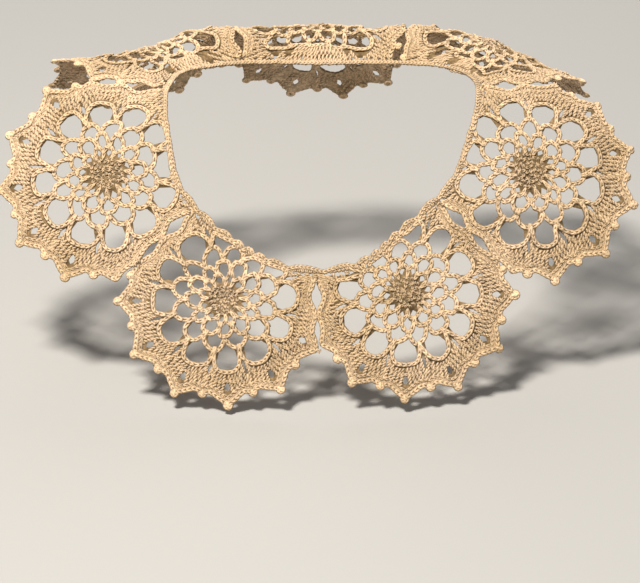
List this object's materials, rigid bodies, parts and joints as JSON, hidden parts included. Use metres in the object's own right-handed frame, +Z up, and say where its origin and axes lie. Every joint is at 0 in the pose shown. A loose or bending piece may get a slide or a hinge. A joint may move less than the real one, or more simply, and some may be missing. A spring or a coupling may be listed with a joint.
{
  "type": "crochet lace collar of joined round motifs",
  "caption": "Ecru crochet collar of joined round lace motifs with pointed edges and a narrow neck edging, kept open and rounded as when worn.",
  "frame": {"origin": "middle of the neck opening in plan, level with the edging's highest points beside the neck, where a neck holds it", "axes": "+Z up, front centre towards -Y, wearer's left towards +X"},
  "size_m": [0.3849, 0.2316, 0.1668],
  "materials": {
    "cotton_lace": "matte crocheted cotton yarn"
  },
  "bodies": {
    "root": {"motif_front_right": "cotton_lace", "motif_side_right": "cotton_lace", "motif_shoulder_right": "cotton_lace", "motif_back_centre": "cotton_lace", "motif_shoulder_left": "cotton_lace", "motif_side_left": "cotton_lace", "motif_front_left": "cotton_lace", "neck_edging_front": "cotton_lace", "neck_edging_back": "cotton_lace"}
  },
  "joints": []
}
